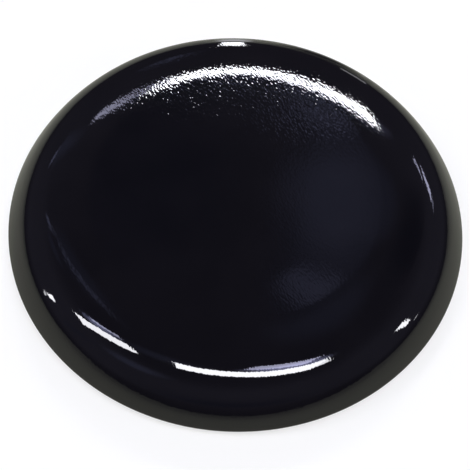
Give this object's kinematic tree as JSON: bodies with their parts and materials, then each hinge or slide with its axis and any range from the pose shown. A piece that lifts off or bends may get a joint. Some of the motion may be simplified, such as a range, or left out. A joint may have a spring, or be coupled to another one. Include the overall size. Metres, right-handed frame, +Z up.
{
  "type": "gas burner cap",
  "caption": "Round enamelled cap for a gas hob burner: flat top, rounded shoulder and sloping rim, with a seat and a locating lip underneath.",
  "frame": {"origin": "centre of the plane that the locating lip's end stands on", "axes": "+Z up along the cap's axis, out of its top; X and Y are free, because the cap is round"},
  "size_m": [0.075, 0.075, 0.011],
  "materials": {
    "black_enamel": "polished"
  },
  "bodies": {
    "root": {"burner_cap": "black_enamel"}
  },
  "joints": []
}
